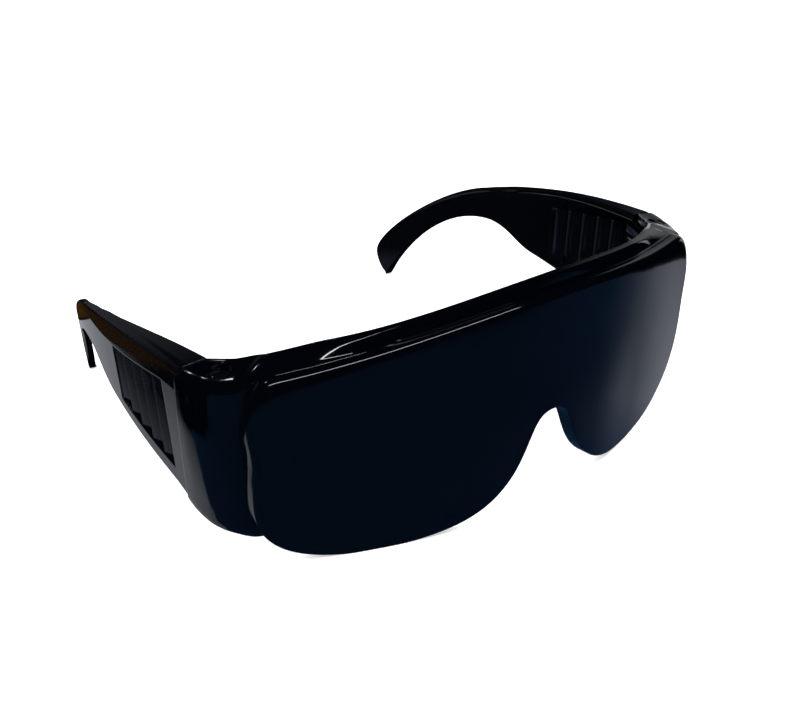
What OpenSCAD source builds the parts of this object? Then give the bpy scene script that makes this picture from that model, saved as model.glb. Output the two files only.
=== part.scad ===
// Dark wraparound welding glasses with a one-piece shield and two folding, vented temples.
// Everything is drawn as worn: X across the face, Y towards the ears, Z up. Y = 0 is the seam between
// shield and temples, and Z = 0 is the top of the temples at the seam. The pieces are then pitched so
// that the lens and the ear hooks stand on the table together.

/* [Lens] */
// Width of the raised lens face
lens_w = 144; // [138:1:150]
// How far the lens stands ahead of the seam at the nose
lens_reach = 40; // [36:0.5:46]
// How far the lens sweeps back from the nose to its side edges
lens_sweep = 22.2; // [19:0.2:25]
// Share of the sweep that is rounded off towards the sides
lens_round = 0.3; // [0.1:0.05:0.4]
// Thickness of the lens wall
lens_t = 2.8; // [2.6:0.1:3.2]
// Depth of the lens below the seam level
lens_drop = 47.4; // [44:0.2:52]
// Depth of the straight part's lower end on the lens's side edges, below the seam level
lens_side = 20; // [17:0.5:24]
// Size of the lens's rounded upper corners
lens_corner = 9.5; // [6:0.5:12]
// Depth of the top of the nose notch below the seam level
nose_top = 18.6; // [14:0.2:22]
// Half width of the nose notch on its flanks
nose_half = 10.1; // [9:0.1:12]
// Depth of the flanks' steepest point below the seam level
nose_flank = 31.4; // [29:0.2:34]
// Distance of the lens's lowest point from the middle
low_x = 46; // [40:0.5:50]

/* [Brow] */
// Height of the brow at the lens's sides above the seam level
brow_side = 2.2; // [1.5:0.1:3]
// Further rise of the brow in the middle
brow_rise = 10.8; // [8:0.2:13]
// How far past the lens's sides the brow's arch runs out
brow_past = 10; // [8:0.5:14]
// Thickness of the brow ledge
ledge_t = 2.2; // [1.8:0.1:2.8]
// Depth of the ledge in the middle, from the lens face back
ledge_mid = 5.2; // [4.5:0.1:7]
// Further depth of the ledge at the lens's sides
ledge_gain = 9.6; // [8:0.2:10.4]
// Height of the raised lip on the ledge's rear edge
lip_h = 3.2; // [2:0.1:4.5]
// Thickness of the lip
lip_t = 1.8; // [1.4:0.1:2.4]
// Length over which the lip fades out towards the sides
lip_fade = 26; // [18:1:32]

/* [Wings] */
// Width of each wing beyond the lens's side edge
wing_out = 6.2; // [5.6:0.1:7.5]
// Distance ahead of the seam towards which the wing's outer corner bends
wing_bend = 8.5; // [8:0.25:10]
// Thickness of the wing wall
wing_t = 1.6; // [1.4:0.1:1.8]
// Step from the lens face down to the wing
wing_step = 2.1; // [1.8:0.1:2.2]
// Drop of the shield's top from the brow to the wing
wing_fall = 2; // [1.2:0.1:2.3]
// Height of the wing's rounded outer corner at the top
wing_round = 3; // [2:0.1:3.4]
// Depth of the wing's rear edge below the seam level
wing_rear = 36.2; // [35:0.2:38]
// Depth of the wing's bottom where it meets the lens
wing_drop = 40.2; // [39.4:0.2:42]
// Distance behind which the wing starts inside the lens's side edge
wing_lap = 9; // [7:0.5:11]

/* [Hinges] */
// Distance of the pin's axis from the wing's outer face
pin_in = 7.7; // [7:0.1:8.2]
// Distance of the pin's axis ahead of the seam
pin_ahead = 7.4; // [7:0.1:8]
// Radius of the pin's shaft
pin_r = 1.5; // [1.2:0.05:1.8]
// Length of the pin's shaft inside the temple's knuckle
pin_grip = 5.6; // [4:0.2:6.4]
// Radius of the pin's head
head_r = 2.6; // [2.2:0.05:2.8]
// Thickness of the pin's head
head_t = 0.9; // [0.7:0.05:1]
// How far the upper head lies below the wing's top
head_sunk = 0.6; // [0.5:0.05:0.8]
// Height of the boss under the ledge
boss_h = 2.6; // [2.4:0.1:3]
// Radius of the bosses and knuckles around the pin
knuckle_r = 3.1; // [3:0.05:3.2]
// Height of each knuckle
knuckle_h = 7.6; // [7:0.1:9]
// Depth of the lower ear's top below the seam level
ear_depth = 31; // [29:0.2:31.4]
// Thickness of the lower ear
ear_t = 2.4; // [2:0.1:2.6]
// Direction across the web at the pin, in degrees
web_turn = -34; // [-40:1:-28]
// Distance behind the seam to which the web runs along the temple's wall
web_back = 5; // [4:0.25:6]
// How far the web runs into the temple's wall
web_root = 0.6; // [0.4:0.1:1]
// Clearance between a knuckle and the boss or ear beside it
knuckle_gap = 0.3; // [0.2:0.05:0.5]
// Radial clearance of the pins in the shield
seat_fit = 0.03; // [0.02:0.01:0.05]
// Radial clearance of the pins in the temples
run_fit = 0.05; // [0.03:0.01:0.08]

/* [Temples] */
// Gap at the seam between shield and temple
seam_gap = 0.4; // [0.3:0.05:0.6]
// How far the temple's outer face lies inside the wing's
temple_inset = 0.6; // [0.4:0.1:1.2]
// Thickness of the temple's wall
temple_t = 2.2; // [2:0.1:2.6]
// Length of the temple's straight front part
bow_start = 17; // [12:1:24]
// Radius of the inward bow behind it
bow_r = 264; // [230:1:300]
// Inward lean of the temples' and wings' walls towards their lower edges, in degrees
lean = 2.3; // [0:0.1:3.2]
// Distance behind the seam at which the arm's top edge turns down
arm_turn = 68; // [66:0.5:70]
// Depth of the arm's top edge there, below the seam level
arm_fall = 12.9; // [12:0.1:13.8]
// Distance of the ear hook's rearmost point behind the seam
hook_back = 112.6; // [106:0.2:118]
// Depth of the ear hook's rearmost point below the seam level
hook_depth = 49; // [47:0.2:52]
// Depth of the ear hook's tip below the seam level
tip_depth = 57.8; // [56:0.2:60]
// How far the tip lies ahead of the rearmost point
tip_ahead = 4.5; // [4:0.1:5.4]
// Depth of the side shield's lower edge at the seam
panel_front = 37.1; // [35.8:0.1:38]
// Depth of the side shield's lower rear corner
panel_rear = 30.2; // [29:0.2:32]
// Distance of the side shield's lower rear corner behind the seam
panel_l = 41.6; // [40.6:0.2:44]
// Distance of the arm's narrowest place behind the seam
waist_back = 65.1; // [63:0.5:67]
// Depth of the arm's underside where it is narrowest
waist_depth = 23.3; // [22:0.1:24.6]
// Width of the top flange at the hinge, over the wall's outer face
flange_w = 9.1; // [7.6:0.1:9.4]
// Distance behind the seam at which the top flange has narrowed to the wall
flange_l = 51; // [40:1:60]
// Thickness of the top flange
flange_t = 2; // [1.6:0.1:2.4]

/* [Vents] */
// Distance of the vent window's front edge behind the seam
vent_front = 9; // [8.6:0.1:10]
// Length of the vent window
vent_l = 30; // [26:0.5:30.5]
// Depth of the window's top below the temple's top edge
vent_top = 6.2; // [5.6:0.1:7]
// How much deeper the window's top lies at its rear
vent_fall = 0.6; // [0:0.1:1]
// Height of the window at its front
vent_h_front = 25; // [22:0.2:25.6]
// Height of the window at its rear
vent_h_rear = 15.6; // [13:0.2:16]
// Number of louvre blades in the window
blades = 5; // [4:1:6]
// Thickness of a blade
blade_t = 1; // [0.8:0.05:1.2]
// Turn of each blade out of the wall, in degrees
blade_turn = 15; // [12:1:18]
// Overlap of neighbouring blades
blade_lap = 1.4; // [1:0.1:1.8]
// How far the blades lie behind the wall's outer face
blade_sunk = 0.3; // [0.2:0.05:0.6]
// How far the blades' ends run into the wall
blade_root = 0.6; // [0.4:0.1:1]
// How far the blades may stand out of the wall's inner face
blade_out = 1.2; // [1:0.1:1.6]

/* [Stand] */
// Depth of the small flats on which the lens and the hooks stand
stand_cut = 0.4; // [0.3:0.05:0.6]

/* [Hidden] */

lens_steps = 28;
curve_steps = 10;
corner_steps = 8;
eps = 0.01;
far = 200;
// How far a cut runs past the face that it opens
through = 1;

lens_half = lens_w/2;
half_w = lens_half + wing_out;
brow_span = lens_half + brow_past;
corner_x = lens_half - lens_corner;
pin_x = half_w - pin_in;
pin_y = -pin_ahead;
face_x = half_w - temple_inset;

// Smooth step from 0 to 1
function soft(s) = let(c = min(1, max(0, s))) c*c*(3 - 2*c);
// Plan curve of the lens face
function lens_y(x) = let(u = x/lens_half)
    -lens_reach + lens_sweep*((1 + lens_round)*pow(u, 2) - lens_round*pow(u, 4));
// Height of the shield's top
function top_z(x) = brow_side + brow_rise*(1 + cos(180*x/brow_span))/2
    - wing_fall*soft((abs(x) - corner_x)/(lens_corner + 2))
    - wing_round*(1 - sqrt(max(0, 1 - pow(max(0, abs(x) - lens_half)/wing_out, 2))));
// Rear edge of the ledge
function ledge_y(x) = min(0, lens_y(x) + ledge_mid + ledge_gain*pow(abs(x)/lens_half, 4.5));
// Height of the lip over the ledge
function lip_z(x) = lip_h*soft((lens_half - lip_t - abs(x))/lip_fade);

// Points of a smooth curve from a to d with handles b and c, without its first point
function curve(a, b, c, d, n = curve_steps) = [for (i = [1:n]) let(t = i/n)
    pow(1 - t, 3)*a + 3*pow(1 - t, 2)*t*b + 3*(1 - t)*t*t*c + pow(t, 3)*d];
// A path moved sideways to its left by d
function aside(path, d) = let(n = len(path)) [for (i = [0:n - 1])
    let(run = path[min(n - 1, i + 1)] - path[max(0, i - 1)], far_run = norm(run))
    path[i] + d*[-run[1], run[0]]/far_run];
function back(path) = [for (i = [len(path) - 1:-1:0]) path[i]];
function flip(path) = [for (p = back(path)) [-p[0], p[1]]];

// Plan of the lens face, from the middle to the side and over the whole width
lens_run = [for (i = [0:lens_steps]) let(x = lens_half*i/lens_steps) [x, lens_y(x)]];
lens_path = concat(flip(lens_run), [for (i = [1:lens_steps]) lens_run[i]]);
// Plan of the wing's outer face, from behind the lens edge to the seam
edge_run = lens_run[lens_steps] - lens_run[lens_steps - 1];
edge_dir = edge_run/norm(edge_run);
under_lens = [for (p = aside(lens_run, wing_step)) if (p[0] > lens_half - wing_lap) p];
wing_start = lens_run[lens_steps] + wing_step*[-edge_dir[1], edge_dir[0]];
wing_lead = 2.5;
wing_curve = curve(wing_start, wing_start + wing_lead*edge_dir,
                   [half_w, -wing_bend], [half_w, -wing_bend/5]);
wing_path = concat(under_lens, wing_curve, [[half_w, 0]]);

// Lower edge of the lens, seen from the front, from the side to the middle, with its curves' handles
side_lead = 10;
low_lead = 25.5;
low_run = 14;
flank_lead = [6.7, -12.3];
flank_run = [-4.3, 7.9];
notch_lead = 4.2;
lens_low = concat([[lens_half, -lens_side]],
    curve([lens_half, -lens_side], [lens_half, -lens_side - side_lead],
          [low_x + low_lead, -lens_drop], [low_x, -lens_drop]),
    curve([low_x, -lens_drop], [low_x - low_run, -lens_drop],
          [nose_half, -nose_flank] + flank_lead, [nose_half, -nose_flank]),
    curve([nose_half, -nose_flank], [nose_half, -nose_flank] + flank_run,
          [nose_half - notch_lead, -nose_top], [0, -nose_top]));
// Its upper edge, with the rounded corner
corner_fall = 0.8;
corner_tail = 1.3;
corner_z = top_z(corner_x);
lens_top = [for (p = lens_run) [p[0], top_z(p[0])]];
lens_upper = concat([for (p = lens_top) if (p[0] < corner_x) p], [[corner_x, corner_z]],
    curve([corner_x, corner_z], [lens_half - lens_corner/3, corner_z - corner_fall],
          [lens_half, corner_z - lens_corner/2], [lens_half, corner_z - corner_tail*lens_corner],
          corner_steps));

// Side view of the wing, with its rounded lower rear corner
wing_end = [-10.5, 0.3 - wing_drop];
wing_lead_low = [-0.6, -1.2];
wing_run_low = [4.5, 1.1];
wing_fore = lens_y(lens_half) - wing_lap - 3;
wing_side = concat([[0, far], [0, -wing_rear]],
    curve([0, -wing_rear], [0, -wing_rear] + wing_lead_low,
          wing_end + wing_run_low, wing_end, corner_steps),
    [[lens_y(lens_half), -wing_drop], [wing_fore, -wing_drop], [wing_fore, far]]);

// Heights at the hinge
boss_z = brow_side - ledge_t - boss_h;
upper_head_z = top_z(pin_x) - head_sunk - head_t;
ear_low = -ear_depth - ear_t;

// Side view of the temple: top edge from the seam to the hook, then the tip, then the underside
waist = [waist_back, -waist_depth];
tip = [hook_back - tip_ahead, -tip_depth];
arm_top = [arm_turn, -arm_fall];
panel_end = [panel_l, -panel_rear];
hook_end = [hook_back, -hook_depth];
// The handles of its curves, as runs behind and above the points that they belong to
seam_lead = [25, -3.25];
arm_run = [-24, 7.75];
arm_lead = [21, -6.3];
hook_run = [0, 7.5];
tip_lead = [-8.6, 17.5];
waist_run = [18.4, 0];
waist_lead = [-7.8, 0];
panel_run = [6.2, 2];
tip_half = [1, 0];
tip_edge = [0.2, 0.4];
top_edge = concat([[seam_gap, 0]],
    curve([seam_gap, 0], seam_lead, arm_top + arm_run, arm_top),
    curve(arm_top, arm_top + arm_lead, hook_end + hook_run, hook_end));
under_edge = concat([tip - tip_half],
    curve(tip - tip_half, tip + tip_lead, waist + waist_run, waist),
    curve(waist, waist + waist_lead, panel_end + panel_run, panel_end),
    [[seam_gap, -panel_front]]);
temple_side = concat(top_edge, [tip + tip_edge], under_edge);

// Pitch and lift that put the lens and the hooks on the table
tip_low = tip_depth*cos(lean) - (face_x - bow_x(tip[0]))*sin(lean);
rest_pitch = atan2(tip_low - lens_drop, tip[0] - lens_y(low_x));
low_z = lens_y(low_x)*sin(rest_pitch) - lens_drop*cos(rest_pitch);
front_y = lens_y(0)*cos(rest_pitch) - top_z(0)*sin(rest_pitch);
rear_y = hook_back*cos(rest_pitch) + hook_depth*sin(rest_pitch);

module seated() {
    intersection() {
        translate([0, -(front_y + rear_y)/2, -low_z - stand_cut]) rotate([rest_pitch, 0, 0]) children();
        translate([-far, -far, 0]) cube([2*far, 2*far, far]);
    }
}

// Upright prism over a plan, prism across the face over a side view, and prism along Y over a front view
module plan(points, low = -far, high = far) {
    translate([0, 0, low]) linear_extrude(high - low) polygon(points);
}
module across(points, low = -far, high = far) {
    translate([low, 0, 0]) rotate([90, 0, 90]) linear_extrude(high - low) polygon(points);
}
module along(points) {
    translate([0, far, 0]) rotate([90, 0, 0]) linear_extrude(2*far) polygon(points);
}
module both_sides() {
    children();
    mirror([1, 0, 0]) children();
}

// Front view of everything below the shield's top
shield_x = concat([for (p = lens_run) p[0]],
    [for (i = [1:corner_steps]) lens_half + wing_out*sin(90*i/corner_steps)]);
shield_top = [for (x = shield_x) [x, top_z(x)]];
module below_top() {
    along(concat(flip(shield_top), shield_top, [[half_w, -far], [-half_w, -far]]));
}

module lens_wall() {
    intersection() {
        plan(concat(lens_path, back(aside(lens_path, lens_t))));
        along(concat(flip(lens_upper), lens_upper, lens_low, flip(lens_low)));
    }
}

module ledge() {
    bend = concat(wing_curve, [[half_w, 0]]);
    fore = concat(flip(bend), aside(lens_path, wing_step), bend);
    rear = [for (x = shield_x) [x, ledge_y(x)]];
    low = [for (p = shield_top) p - [0, ledge_t]];
    intersection() {
        plan(concat(fore, back(rear), flip(back(rear))));
        along(concat(flip(shield_top), shield_top, back(low), flip(back(low))));
    }
}

module lip() {
    rear = [for (p = lens_run) [p[0], ledge_y(p[0])]];
    fore = [for (p = rear) p - [0, lip_t]];
    high = [for (p = lens_run) [p[0], top_z(p[0]) + lip_z(p[0])]];
    low = [for (p = lens_top) p - [0, ledge_t/2]];
    intersection() {
        plan(concat(flip(fore), fore, back(rear), flip(back(rear))));
        along(concat(flip(high), high, back(low), flip(back(low))));
    }
}

// Turned about the wing's upper rear edge, so that the sides lean inwards below
module leaning(x) {
    translate([x, 0, 0]) rotate([0, lean, 0]) translate([-x, 0, 0]) children();
}

module wing() {
    intersection() {
        leaning(half_w) intersection() {
            plan(concat(wing_path, back(aside(wing_path, wing_t))));
            across(wing_side);
        }
        below_top();
    }
}

// Boss under the wing's top and ear inside its wall, for the two pins
module hinge_seats() {
    boss_top = top_z(pin_x) - ledge_t/2;
    translate([pin_x, pin_y, boss_z]) cylinder(r = knuckle_r, h = boss_top - boss_z, $fn = 48);
    ear_in = pin_x - knuckle_r;
    ear_back = pin_y + knuckle_r;
    intersection() {
        leaning(half_w) plan(concat(wing_path, [[under_lens[0][0], 0]]));
        translate([ear_in, ear_back - far, ear_low]) cube([far, far, ear_t]);
    }
}

module pin_holes() {
    translate([pin_x, pin_y, boss_z - through]) cylinder(r = pin_r + seat_fit, h = far, $fn = 48);
    translate([pin_x, pin_y, upper_head_z]) cylinder(r = head_r + seat_fit, h = far, $fn = 48);
    translate([pin_x, pin_y, ear_low - through]) {
        cylinder(r = pin_r + seat_fit, h = ear_t + 2*through, $fn = 48);
        cylinder(r = head_r + seat_fit, h = head_t + through, $fn = 48);
    }
}

module front_shield() {
    color("#0b0f16") seated() {
        difference() {
            union() {
                lens_wall();
                ledge();
                lip();
                both_sides() wing();
                both_sides() hinge_seats();
            }
            both_sides() pin_holes();
        }
    }
}

// Plan of the temple from its outer face inwards by w: straight, then bowed
module temple_plan(w) {
    linear_extrude(2*far, center = true) {
        translate([face_x - w, seam_gap]) square([w, bow_start - seam_gap + eps]);
        intersection() {
            translate([face_x - bow_r, bow_start]) difference() {
                circle(r = bow_r, $fn = 360);
                circle(r = bow_r - w, $fn = 360);
            }
            translate([0, bow_start]) square([far, far]);
        }
    }
}

function bow_x(y) = y < bow_start ? face_x
    : face_x - bow_r + sqrt(pow(bow_r, 2) - pow(y - bow_start, 2));
function flange_at(y) = max(temple_t, flange_w - (flange_w - temple_t)*y/flange_l);

// Flat plan of the top flange, wide at the hinge and narrow on the arm
module flange_plan() {
    n = 24;
    steps = [for (i = [0:n]) seam_gap + (hook_back + 2*through - seam_gap)*i/n];
    outer = [for (y = steps) [bow_x(y) - temple_t/2, y]];
    inner = [for (y = steps) [bow_x(y) - flange_at(y), y]];
    plan(concat(outer, back(inner)));
}

vent_y = vent_front + vent_l;
function edge_z(y) = lookup(y, top_edge);
vent_z = [edge_z(vent_front) - vent_top, edge_z(vent_y) - vent_top - vent_fall];
vent_shape = [[vent_front, vent_z[0]], [vent_y, vent_z[1]],
              [vent_y, vent_z[1] - vent_h_rear], [vent_front, vent_z[0] - vent_h_front]];
blade_pitch = vent_l/blades;
blade_w = blade_pitch*cos(blade_turn) + blade_lap;

module blade_row() {
    intersection() {
        for (i = [0:blades - 1]) {
            translate([face_x - blade_sunk, vent_front + blade_pitch*(i + 1), 0])
                rotate([0, 0, -blade_turn])
                translate([-blade_t, -blade_w, -far/2]) cube([blade_t, blade_w, far]);
        }
        across([for (i = [0:3]) vent_shape[i] + [0, i < 2 ? blade_root : -blade_root]]);
        temple_plan(temple_t + blade_out);
    }
}

// Cylinder around the pin's axis and the web that joins it to the temple's wall
module knuckle(low) {
    reach = face_x - temple_t + web_root;
    clear = half_w - wing_t - wing_rear*sin(lean) - seam_gap;
    rib = knuckle_r*[cos(web_turn), sin(web_turn)];
    translate([pin_x, pin_y, low]) cylinder(r = knuckle_r, h = knuckle_h, $fn = 48);
    plan([[pin_x, pin_y] - rib, [pin_x, pin_y] + rib, [clear, -seam_gap], [clear, seam_gap],
          [reach, 2*seam_gap], [reach, web_back], [reach - temple_t, web_back]], low, low + knuckle_h);
}

upper_knuckle_top = boss_z - knuckle_gap;
lower_knuckle_low = -ear_depth + knuckle_gap;

module temple() {
    difference() {
        union() {
            leaning(face_x) {
                difference() {
                    intersection() {
                        temple_plan(temple_t);
                        across(temple_side);
                    }
                    across(vent_shape);
                }
                intersection() {
                    flange_plan();
                    across(concat(top_edge, back(aside(top_edge, -flange_t))));
                }
                blade_row();
            }
            knuckle(upper_knuckle_top - knuckle_h);
            knuckle(lower_knuckle_low);
        }
        translate([pin_x, pin_y, upper_knuckle_top - pin_grip - knuckle_gap])
            cylinder(r = pin_r + run_fit, h = far, $fn = 48);
        translate([pin_x, pin_y, -far]) cylinder(r = pin_r + run_fit,
            h = far + lower_knuckle_low + pin_grip + knuckle_gap, $fn = 48);
    }
}

module left_temple() {
    color("#101113") seated() temple();
}

module right_temple() {
    color("#101113") seated() mirror([1, 0, 0]) temple();
}

module upper_pin() {
    low = upper_knuckle_top - pin_grip;
    translate([pin_x, pin_y, low]) cylinder(r = pin_r, h = upper_head_z - low + eps, $fn = 48);
    translate([pin_x, pin_y, upper_head_z]) cylinder(r = head_r, h = head_t, $fn = 48);
}

module lower_pin() {
    head_top = ear_low + head_t;
    translate([pin_x, pin_y, ear_low]) cylinder(r = head_r, h = head_t, $fn = 48);
    translate([pin_x, pin_y, head_top - eps])
        cylinder(r = pin_r, h = lower_knuckle_low + pin_grip - head_top + eps, $fn = 48);
}

module left_upper_hinge_pin() {
    color("#1c1d20") seated() upper_pin();
}

module right_upper_hinge_pin() {
    color("#1c1d20") seated() mirror([1, 0, 0]) upper_pin();
}

module left_lower_hinge_pin() {
    color("#1c1d20") seated() lower_pin();
}

module right_lower_hinge_pin() {
    color("#1c1d20") seated() mirror([1, 0, 0]) lower_pin();
}

front_shield();
right_temple();
left_temple();
right_upper_hinge_pin();
left_upper_hinge_pin();
right_lower_hinge_pin();
left_lower_hinge_pin();
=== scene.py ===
"""Dark wraparound welding glasses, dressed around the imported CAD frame."""
import math

import bmesh
import bpy
import numpy as np
from mathutils import Matrix, Vector


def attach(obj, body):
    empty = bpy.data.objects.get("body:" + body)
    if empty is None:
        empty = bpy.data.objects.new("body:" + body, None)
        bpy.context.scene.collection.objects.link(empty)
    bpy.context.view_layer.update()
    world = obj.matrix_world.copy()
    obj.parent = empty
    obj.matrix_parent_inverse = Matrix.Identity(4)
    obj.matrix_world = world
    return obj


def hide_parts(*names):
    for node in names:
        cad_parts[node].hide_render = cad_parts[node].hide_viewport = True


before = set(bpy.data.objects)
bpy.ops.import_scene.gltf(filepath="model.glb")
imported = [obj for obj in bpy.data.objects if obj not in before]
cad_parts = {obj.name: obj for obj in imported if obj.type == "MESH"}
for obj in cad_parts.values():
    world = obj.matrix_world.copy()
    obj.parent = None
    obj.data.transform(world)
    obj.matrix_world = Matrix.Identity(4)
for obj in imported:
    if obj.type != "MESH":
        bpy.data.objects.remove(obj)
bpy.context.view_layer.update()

bl_info = {
    "name": "Welding Glasses",
    "version": (1, 0, 0),
    "blender": (4, 5, 0),
    "location": "3D View > Sidebar > Glasses",
    "description": "Builds a pair of dark wraparound welding glasses with folding, vented temples",
    "category": "Object",
}

MM = 0.001
SIDES = {"right": -1, "left": 1}

# Fixed measures in mm and degrees, as worn
LEAN = 2.3              # inward lean of the side walls
SHOULDER = 12           # further lean of a temple above its knee
TIP_AHEAD = 4.5         # the ear hook's tip lies this far ahead of its rearmost point
BOW_START = 17.0        # a temple bows inward from here, behind the seam
LENS_SIDE = 66          # outside this distance from the middle the lens has its side edge
SEAM_FOOT = 36          # depth at which the seam stands furthest back
SEAM_GAP = 0.4          # room between the seam and a temple's front end
LIP_END = 1.8           # the lip ends this far inside the lens's side edge
LIP_RUN = 21            # length over which the lip rises to its height
HEAD_TOP = 1.159        # level of the wing's top over a pin
HEAD_SUNK = 0.6         # depth of a pin's head below that level
HEAD_HIGH = 0.9         # height of a pin's head without its dome
PLAY = 0.3              # room between a knuckle and what holds it
AXIS = 0.01             # radius at which a turned skin closes on its axis
CREASE = 40             # edges that bend more than this many degrees stay sharp
QUARTER = math.pi / 2   # a quarter turn

# Dust: share of the pattern's cells without a speck, a speck's size in its cell, and its colour
DUST_FREE = 0.988
DUST_SIZE = 0.035
DUST_GREY = (0.16, 0.165, 0.17, 1)

# The second colour that each finish drifts towards
TONES = {
    "lens": (0.0004, 0.0010, 0.0022),
    "temple": (0.0011, 0.0016, 0.0028),
    # The blades are the temple's own plastic. Their bluer, lighter tone is a painted bluish reflection on
    # the louvre blades.
    "blade": (0.0016, 0.0026, 0.0052),
    "pin": (0.0016, 0.0018, 0.0024),
}

# The camera's target level in mm and its sideways shift
AIM_LEVEL = -24.86
CAMERA_SHIFT = -0.0574


# Maths used by every form

def soft(s):
    """Smooth step from 0 to 1."""
    c = np.clip(s, 0.0, 1.0)
    return c * c * (3 - 2 * c)


def curve(a, b, c, d, n=24, first=True):
    """Points of a smooth curve from a to d with handles b and c, without a unless first is set."""
    t = np.linspace(0, 1, n + 1)[:, None]
    if not first:
        t = t[1:]
    a, b, c, d = (np.array(p, float) for p in (a, b, c, d))
    return (1 - t) ** 3 * a + 3 * (1 - t) ** 2 * t * b + 3 * (1 - t) * t * t * c + t ** 3 * d


def lengths(path):
    """Running length along a path."""
    return np.concatenate([[0], np.cumsum(np.linalg.norm(np.diff(path, axis=0), axis=1))])


def along(path, at):
    """Points of a path at the given running lengths."""
    run = lengths(path)
    return np.stack([np.interp(at, run, path[:, i]) for i in range(path.shape[1])], axis=-1)


def steps(end, n):
    """n values in even steps up to end, without 0."""
    return np.linspace(0, end, n + 1)[1:]


def draw_in(r, t):
    """How far an edge rounded with radius r is drawn in at t from its end."""
    return r - math.sqrt(max(0, r ** 2 - (r - t) ** 2))


def clustered(low, high, n, ends=0.5):
    """n + 1 values from low to high, closer together at both ends as ends grows to 1."""
    t = np.linspace(0, 1, n + 1)
    return low + (high - low) * ((1 - ends) * t + ends * (1 - np.cos(np.pi * t)) / 2)


def doubled_area(path):
    """Twice the area inside a closed path, above 0 where it runs anticlockwise."""
    return np.sum(path[:, 0] * np.roll(path[:, 1], -1) - np.roll(path[:, 0], -1) * path[:, 1])


def left_of(path):
    """Unit vectors to the left of a closed path at its points."""
    run = np.roll(path, -1, 0) - np.roll(path, 1, 0)
    run /= np.maximum(1e-9, np.linalg.norm(run, axis=1))[:, None]
    return np.stack([-run[:, 1], run[:, 0]], 1)


def shrunk(section, d):
    """A closed section drawn in by d."""
    return section + left_of(section) * (d if doubled_area(section) > 0 else -d)


class Form:
    """The glasses' measures in mm, as worn: X across the face, Y towards the ears, Z up."""

    def __init__(self, s):
        g = {k: getattr(s, k) / MM for k in s.bl_rna.properties.keys() if k in s.lengths}
        self.__dict__.update(g)
        self.lens_half = self.lens_width / 2
        self.half_w = self.lens_half + self.wing_out
        self.face_x = self.half_w - self.temple_inset
        self.corner_x = self.lens_half - self.lens_corner
        self.pin_x = self.half_w - self.pin_in
        self.blade_count = s.blade_count
        self.pin_y = -self.pin_ahead
        self.boss_z = -self.boss_drop
        self.ear_low = -self.ear_depth
        self.upper_knuckle_top = self.boss_z - PLAY
        self.lower_knuckle_low = self.ear_low + self.ear_t + PLAY
        self.upper_head_z = HEAD_TOP - HEAD_SUNK - HEAD_HIGH
        self.lean = math.radians(LEAN)
        self.shoulder = math.tan(math.radians(SHOULDER))
        self.tip_y = self.hook_back - TIP_AHEAD
        # The glasses pitch and shift to stand on the lens's lower edge and the hooks' tips
        tip_in = self.face_x - self.bow_x(self.tip_y)
        tip_low = self.tip_depth * math.cos(self.lean) - tip_in * math.sin(self.lean)
        self.pitch = math.atan2(tip_low - self.lens_drop, self.tip_y - self.lens_y(self.low_x))
        cos, sin = math.cos(self.pitch), math.sin(self.pitch)
        low_z = self.lens_y(self.low_x) * sin - self.lens_drop * cos
        front = self.lens_y(0) * cos - self.top_z(0) * sin
        rear = self.hook_back * cos + self.hook_depth * sin
        self.shift = (-(front + rear) / 2, -low_z - self.stand_cut)

    def lens_y(self, x):
        """The lens's plan curve."""
        u = np.abs(x) / self.lens_half
        return -self.lens_reach + self.lens_sweep * (1.3 * u ** 2 - 0.3 * u ** 4)

    def top_z(self, x):
        """Level of the brow, and of the wing outside the lens's corners."""
        x = np.abs(x)
        return (self.brow_side + self.brow_rise * (1 + np.cos(np.pi * x / (self.lens_half + 10))) / 2
                - self.wing_fall * soft((x - self.corner_x) / (self.lens_corner + 2)))

    def rear_y(self, x):
        """Plan of the ledge's rear edge."""
        u = np.abs(x) / self.lens_half
        flare = self.ledge_flare * soft((np.abs(x) - LENS_SIDE) / (self.rear_end - LENS_SIDE))
        return np.minimum(0, self.lens_y(x) + self.ledge_mid + self.ledge_gain * u ** 5 + flare)

    def lip_z(self, x):
        """Height of the lip over the ledge."""
        return self.lip_height * soft((self.lens_half - LIP_END - np.abs(x)) / LIP_RUN)

    def bow_x(self, y):
        """Plan of a temple's outer face."""
        b = np.maximum(0, y - BOW_START)
        return self.face_x - self.bow_r + np.sqrt(self.bow_r ** 2 - b ** 2)

    def leaned(self, p, x0):
        """Points turned by the walls' inward lean, about the level line at x0."""
        q = np.array(p, float)
        dx = q[..., 0] - x0
        z = q[..., 2].copy()
        q[..., 0] = x0 + dx * math.cos(self.lean) + z * math.sin(self.lean)
        q[..., 2] = -dx * math.sin(self.lean) + z * math.cos(self.lean)
        return q

    def seated(self, p):
        """Points as the glasses stand on the table, in metres."""
        q = np.array(p, float)
        c, s = math.cos(self.pitch), math.sin(self.pitch)
        y, z = q[..., 1].copy(), q[..., 2].copy()
        q[..., 1] = y * c - z * s + self.shift[0]
        q[..., 2] = np.maximum(0, y * s + z * c + self.shift[1])
        return q * MM


# Mesh building

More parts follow.
